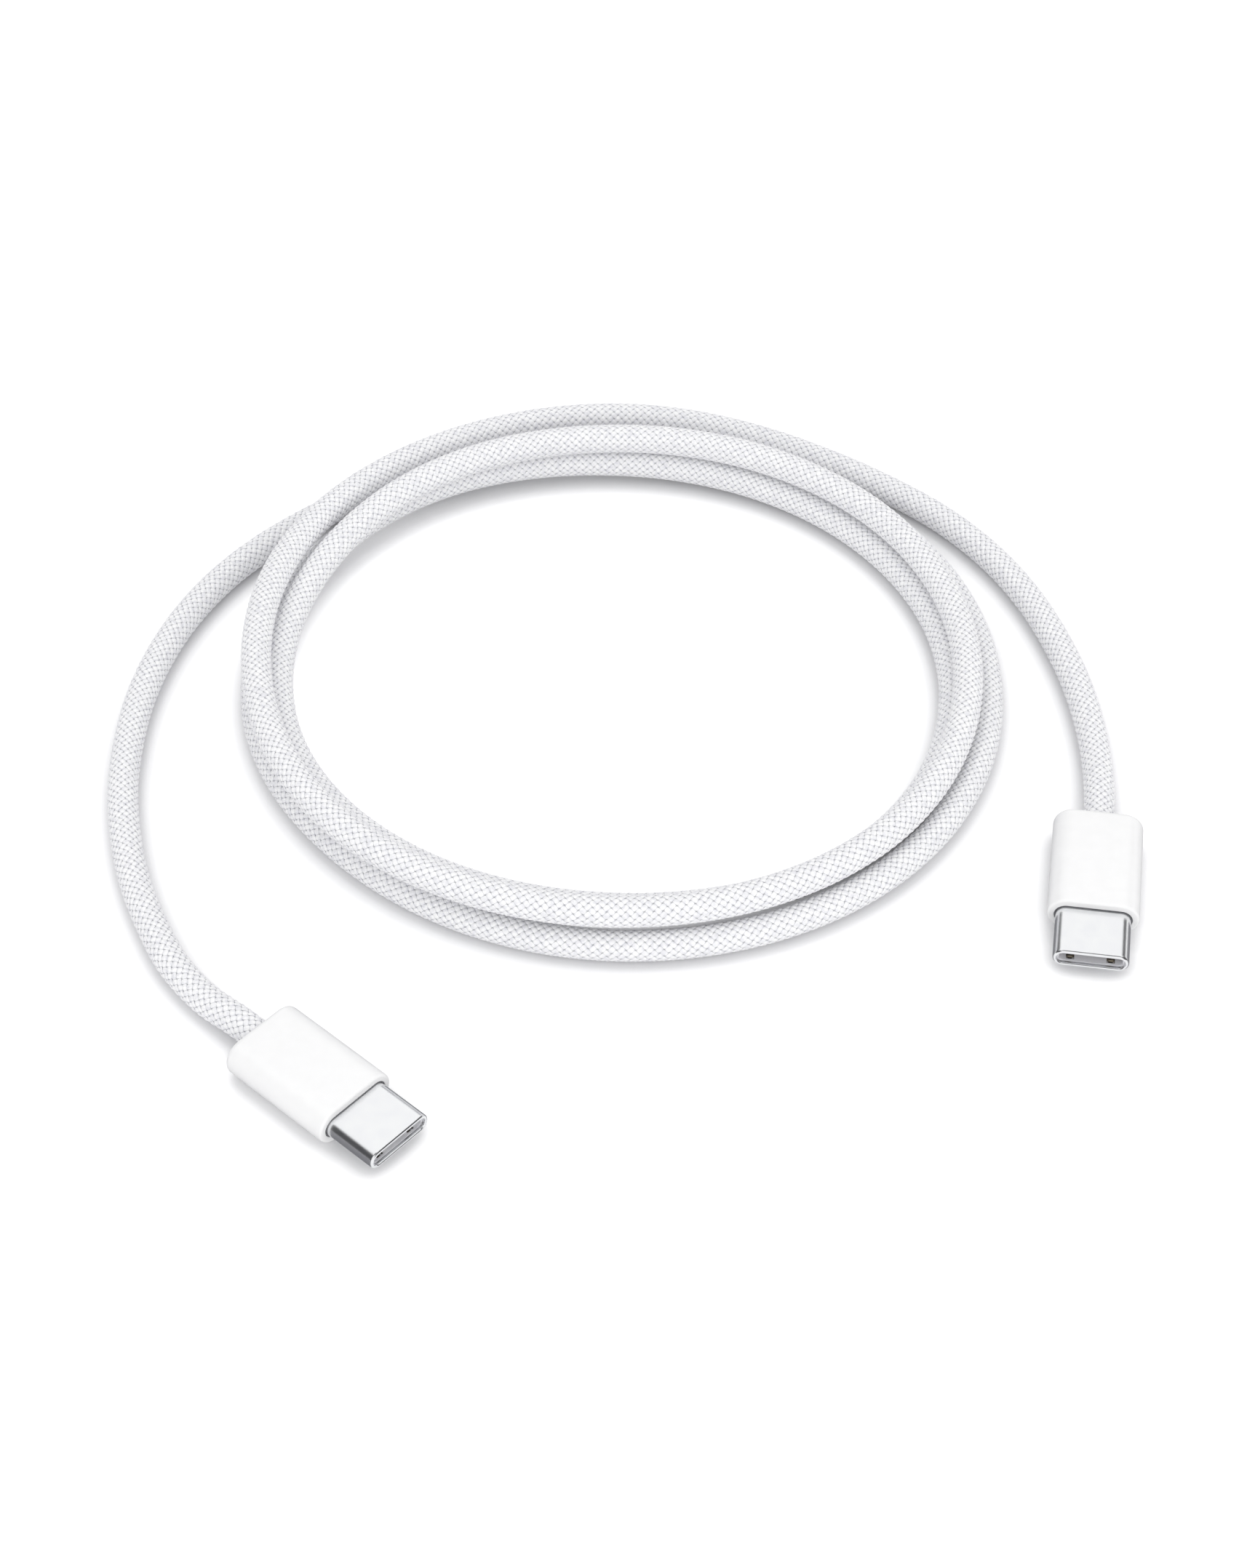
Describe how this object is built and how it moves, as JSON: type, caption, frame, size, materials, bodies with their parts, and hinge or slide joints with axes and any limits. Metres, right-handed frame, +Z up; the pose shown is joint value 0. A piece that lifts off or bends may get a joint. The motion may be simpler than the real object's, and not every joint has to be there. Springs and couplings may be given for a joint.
{
  "type": "charging cable",
  "caption": "Woven charging cable laid in a coil of three turns, with a flat reversible plug on each end.",
  "frame": {"origin": "on the table, midway between the outer sides of the two plugs in width and depth", "axes": "+X to the right from the left plug to the right plug, +Y from the plugs' noses back to the coil, +Z up from the table"},
  "size_m": [0.1176, 0.1198, 0.0105],
  "materials": {
    "woven_sleeve": "tight diamond weave of white multifilament yarn",
    "white_sleeve": "smooth satin-gloss white",
    "inner_mould": "plain white",
    "steel_shell": "nickel-plated, satin",
    "insulator": "moulded grey",
    "spring_steel": "bright stamped sheet",
    "latch_steel": "bright stamped sheet",
    "gold_contacts": "gold-plated",
    "board": "solder mask",
    "ceramic": "fired ceramic",
    "wire_jacket": "thin smooth jacket",
    "shield_can": "tinned sheet",
    "copper_ring": "crimped copper",
    "core_shield": "jacketed core",
    "soft_bush": "soft white"
  },
  "bodies": {
    "cable": {"left_sleeve": "white_sleeve", "left_mould": "inner_mould", "left_shell": "steel_shell", "left_insulator": "insulator", "left_upper_spring": "spring_steel", "left_lower_spring": "spring_steel", "left_latch_plate": "latch_steel", "left_upper_tails": "gold_contacts", "left_lower_tails": "gold_contacts", "left_board": "board", "left_capacitor": "ceramic", "left_wires": "wire_jacket", "left_upper_can": "shield_can", "left_lower_can": "shield_can", "left_ferrule": "copper_ring", "left_core": "core_shield", "left_strain_bush": "soft_bush", "right_sleeve": "white_sleeve", "right_mould": "inner_mould", "right_shell": "steel_shell", "right_insulator": "insulator", "right_upper_spring": "spring_steel", "right_lower_spring": "spring_steel", "right_latch_plate": "latch_steel", "right_upper_tails": "gold_contacts", "right_lower_tails": "gold_contacts", "right_board": "board", "right_capacitor": "ceramic", "right_wires": "wire_jacket", "right_upper_can": "shield_can", "right_lower_can": "shield_can", "right_ferrule": "copper_ring", "right_core": "core_shield", "right_strain_bush": "soft_bush", "cable_left_run": "woven_sleeve", "cable_coil": "woven_sleeve", "cable_right_run": "woven_sleeve"},
    "left_latch_a": {"left_latch_a": "latch_steel"},
    "left_latch_b": {"left_latch_b": "latch_steel"},
    "left_upper_contacts": {"left_upper_contacts": "gold_contacts"},
    "left_lower_contacts": {"left_lower_contacts": "gold_contacts"},
    "right_latch_a": {"right_latch_a": "latch_steel"},
    "right_latch_b": {"right_latch_b": "latch_steel"},
    "right_upper_contacts": {"right_upper_contacts": "gold_contacts"},
    "right_lower_contacts": {"right_lower_contacts": "gold_contacts"}
  },
  "joints": [
    {"name": "left_latch_a_flex", "type": "hinge", "parent": "cable", "child": "left_latch_a", "pos_m": [-0.03397, -0.01434, 0.00225], "axis": [0, 0, 1], "range_deg": [0, 3.5], "stiffness_Nm_per_rad": 0.05},
    {"name": "left_latch_b_flex", "type": "hinge", "parent": "cable", "child": "left_latch_b", "pos_m": [-0.03872, -0.01962, 0.00225], "axis": [0, 0, -1], "range_deg": [0, 3.5], "stiffness_Nm_per_rad": 0.05},
    {"name": "left_upper_contacts_flex", "type": "hinge", "parent": "cable", "child": "left_upper_contacts", "pos_m": [-0.03589, -0.01739, 0.00275], "axis": [-0.6691, -0.7431, 0], "range_deg": [0, 3.3], "stiffness_Nm_per_rad": 0.05},
    {"name": "left_lower_contacts_flex", "type": "hinge", "parent": "cable", "child": "left_lower_contacts", "pos_m": [-0.03589, -0.01739, 0.00176], "axis": [0.6691, 0.7431, 0], "range_deg": [0, 3.3], "stiffness_Nm_per_rad": 0.05},
    {"name": "right_latch_a_flex", "type": "hinge", "parent": "cable", "child": "right_latch_a", "pos_m": [0.04656, 0.0093, 0.00225], "axis": [0, 0, 1], "range_deg": [0, 3.5], "stiffness_Nm_per_rad": 0.05},
    {"name": "right_latch_b_flex", "type": "hinge", "parent": "cable", "child": "right_latch_b", "pos_m": [0.03954, 0.01035, 0.00225], "axis": [0, 0, -1], "range_deg": [0, 3.5], "stiffness_Nm_per_rad": 0.05},
    {"name": "right_upper_contacts_flex", "type": "hinge", "parent": "cable", "child": "right_upper_contacts", "pos_m": [0.04296, 0.00922, 0.00275], "axis": [-0.989, 0.1478, 0], "range_deg": [0, 3.3], "stiffness_Nm_per_rad": 0.05},
    {"name": "right_lower_contacts_flex", "type": "hinge", "parent": "cable", "child": "right_lower_contacts", "pos_m": [0.04296, 0.00922, 0.00176], "axis": [0.989, -0.1478, 0], "range_deg": [0, 3.3], "stiffness_Nm_per_rad": 0.05}
  ]
}
